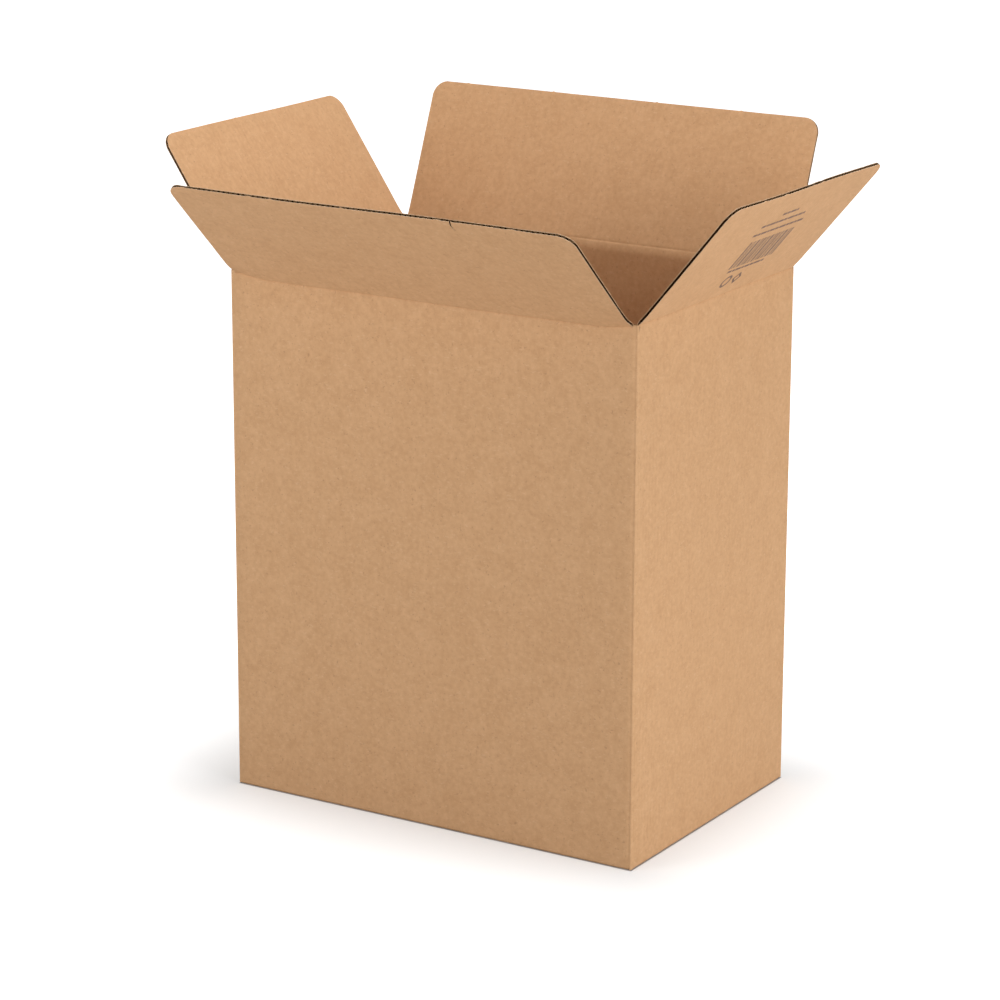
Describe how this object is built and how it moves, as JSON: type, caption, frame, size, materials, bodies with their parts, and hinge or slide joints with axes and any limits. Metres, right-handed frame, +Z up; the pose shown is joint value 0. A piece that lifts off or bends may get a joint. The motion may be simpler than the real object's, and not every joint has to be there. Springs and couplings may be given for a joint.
{
  "type": "wine shipping box",
  "caption": "Upright corrugated carton for wine bottles, standing open, with a locked bottom and top flaps that swing on their creases and close over each other.",
  "frame": {"origin": "centre of the carton's base, on the floor it stands on", "axes": "+Z up, -Y towards the long front wall, +X towards the short wall that is on the right as seen from the front"},
  "size_m": [0.3946, 0.297, 0.414],
  "materials": {
    "board": "matte",
    "flap_plies": "matte"
  },
  "bodies": {
    "carton": {"carton_body": "board"},
    "front_flap": {"front_flap": "flap_plies"},
    "back_flap": {"back_flap": "flap_plies"},
    "left_flap": {"left_flap": "flap_plies"},
    "right_flap": {"right_flap": "flap_plies"}
  },
  "joints": [
    {"name": "front_crease", "type": "hinge", "parent": "carton", "child": "front_flap", "pos_m": [0, -0.09575, 0.325], "axis": [1, 0, 0], "range_deg": [-136.7, 123.3]},
    {"name": "back_crease", "type": "hinge", "parent": "carton", "child": "back_flap", "pos_m": [0, 0.09575, 0.325], "axis": [-1, 0, 0], "range_deg": [-112.2, 147.8]},
    {"name": "left_crease", "type": "hinge", "parent": "carton", "child": "left_flap", "pos_m": [-0.14175, 0, 0.3286], "axis": [0, -1, 0], "range_deg": [-124.5, 135.5]},
    {"name": "right_crease", "type": "hinge", "parent": "carton", "child": "right_flap", "pos_m": [0.14175, 0, 0.3286], "axis": [0, 1, 0], "range_deg": [-130, 130]}
  ]
}
